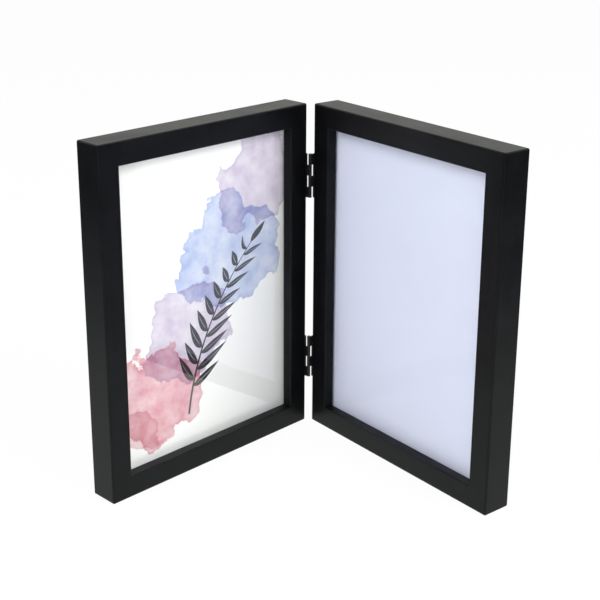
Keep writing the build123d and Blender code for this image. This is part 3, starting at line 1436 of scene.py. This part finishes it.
@dataclass(frozen=True)
class Studio:
    """White floor, pale surroundings and soft lamps.

    The mirrored values are what gloss sees: the floor from near the frame outwards, and the backdrop.
    """

    floor_size: float = 12.0
    floor_drop: float = 0.0002
    floor_colour: Colour = (0.86, 0.86, 0.86)
    floor_glow: float = 0.95
    mirrored_reach: Span = (0.18, 0.66)
    mirrored_level: Span = (1.0, 0.1)
    mirrored_near: Colour = (0.955, 1.0, 0.92)
    mirrored_far: Colour = (0.92, 0.95, 1.0)
    room_colour: Colour = (0.95, 0.96, 1.0)
    room_level: float = 0.45
    backdrop_level: float = 1.0
    backdrop_fade: Span = (0.0, 0.55)
    backdrop_mirrored: Colour = (0.99, 1.0, 0.935)
    lamps: tuple[Softbox, ...] = (
        Softbox("left_softbox", (-0.62, -0.95, 0.95), (0.9, 0.9), 14.0),
        Softbox("right_softbox", (1.0, -0.55, 0.82), (0.8, 0.8), 16.0),
        Softbox("back_softbox", (0.0, 1.3, 0.75), (1.6, 0.4), 1.0),
    )

    def build(self) -> None:
        """Adds the floor, the world and the lamps."""
        self.build_floor()
        self.build_world()
        for lamp in self.lamps:
            lamp.build()

    def build_floor(self) -> None:
        """A wide white sheet, white to camera, mirror and glass rays, that keeps the shadow.

        From below it is see-through, so that the frames' feet can be looked at.
        """
        Bench.clear()
        bpy.ops.mesh.primitive_plane_add(size=self.floor_size, location=(0.0, 0.0, -self.floor_drop))
        floor = bpy.context.object
        floor.name = "studio_floor"
        sheet = bpy.data.materials.new("studio_floor")
        graph = Graph.fresh(sheet)
        matt = graph.node("ShaderNodeBsdfDiffuse", {"Color": self.floor_colour}).outputs[0]
        white = graph.node("ShaderNodeEmission", {"Strength": 1.0}).outputs[0]
        path = graph.node("ShaderNodeLightPath").outputs
        seen = graph.largest(path["Is Camera Ray"], path["Is Transmission Ray"])
        plain = graph.layered(graph.times(seen, self.floor_glow), matt, white)
        place = graph.node("ShaderNodeTexCoord").outputs["Object"]
        away = graph.node("ShaderNodeVectorMath", {0: place}, operation="LENGTH").outputs["Value"]
        far = graph.step(away, self.mirrored_reach)
        level = graph.span(far, RISING, self.mirrored_level)
        colour = graph.mix(far, self.mirrored_near, self.mirrored_far)
        mirrored = graph.node("ShaderNodeEmission", {"Color": colour, "Strength": level}).outputs[0]
        above = graph.layered(path["Is Glossy Ray"], plain, mirrored)
        below = graph.node("ShaderNodeNewGeometry").outputs["Backfacing"]
        clear = graph.node("ShaderNodeBsdfTransparent").outputs[0]
        graph.node("ShaderNodeOutputMaterial", {"Surface": graph.layered(below, above, clear)})
        floor.data.materials.append(sheet)
        log.info("stage %s", floor.name)

    def build_world(self) -> None:
        """Pale light from all round, stronger from the backdrop behind the frame."""
        world = bpy.data.worlds.new("studio")
        graph = Graph.fresh(world)
        _, forward, _ = graph.parts(graph.node("ShaderNodeTexCoord").outputs["Generated"])
        backdrop = graph.step(forward, self.backdrop_fade)
        level = graph.span(backdrop, RISING, (self.room_level, self.backdrop_level))
        room = graph.node("ShaderNodeBackground", {"Color": self.room_colour, "Strength": level}).outputs[0]
        path = graph.node("ShaderNodeLightPath").outputs
        gloss = graph.times(path["Is Glossy Ray"], backdrop)
        warmth = graph.mix(path["Is Glossy Ray"], WHITE, self.backdrop_mirrored)
        white = graph.node("ShaderNodeBackground", {"Color": warmth, "Strength": 1.0}).outputs[0]
        seen = graph.largest(path["Is Camera Ray"], path["Is Transmission Ray"], gloss)
        graph.node("ShaderNodeOutputWorld", {"Surface": graph.layered(seen, room, white)})
        bpy.context.scene.world = world


@dataclass(frozen=True)
class PhotoCamera:
    """Camera at the photograph's place. Focal length and picture middle are pixels of its 600 x 600 frame."""

    place: tuple[float, float, float] = (0.030983, -0.641431, 0.339742)
    yaw: float = -2.551
    pitch: float = 18.132
    roll: float = 0.452
    focal: float = 1248.971
    middle: tuple[float, float] = (309.486, 241.835)
    pixel_middle: float = 0.5
    frame: float = 600.0
    sensor: float = 36.0
    clip: Span = (0.05, 50.0)

    def build(self) -> None:
        """Adds the camera and makes it the scene's."""
        data = bpy.data.cameras.new("photo_camera")
        data.sensor_width = self.sensor
        data.lens = self.focal / self.frame * self.sensor
        half = self.frame / 2
        data.shift_x = (half - self.middle[0] - self.pixel_middle) / self.frame
        data.shift_y = (self.middle[1] + self.pixel_middle - half) / self.frame
        data.clip_start, data.clip_end = self.clip
        camera = bpy.data.objects.new("photo_camera", data)
        camera.matrix_world = Matrix.Translation(self.place) @ self.aim().to_4x4()
        bpy.context.scene.collection.objects.link(camera)
        bpy.context.scene.camera = camera

    def aim(self) -> Matrix:
        """Works out which way the camera looks.

        Returns:
            Rotation whose columns are the camera's right, up and backward directions.
        """
        yaw, pitch, roll = (math.radians(angle) for angle in (self.yaw, self.pitch, self.roll))
        forward = Vector((math.sin(yaw) * math.cos(pitch), math.cos(yaw) * math.cos(pitch), -math.sin(pitch)))
        level = Vector((math.cos(yaw), -math.sin(yaw), 0.0))
        upright = level.cross(forward)
        right = level * math.cos(roll) + upright * math.sin(roll)
        up = upright * math.cos(roll) - level * math.sin(roll)
        return Matrix((right, up, -forward)).transposed()


def main() -> None:
    """Loads the solids, builds and dresses every sub-assembly, and sets the scene."""
    logging.basicConfig(level=logging.INFO, format="%(message)s")
    for leftover in list(bpy.data.objects):
        bpy.data.objects.remove(leftover)
    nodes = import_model()["nodes"]
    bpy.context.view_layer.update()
    for side in Side:
        Moulding(side).dress(nodes)
        PictureStack(side).dress(nodes)
        BackFittings(side).dress(nodes)
    HingeSet().dress(nodes)
    Studio().build()
    PhotoCamera().build()
    bpy.context.scene.view_settings.view_transform = "Standard"


if __name__ == "__main__":
    main()
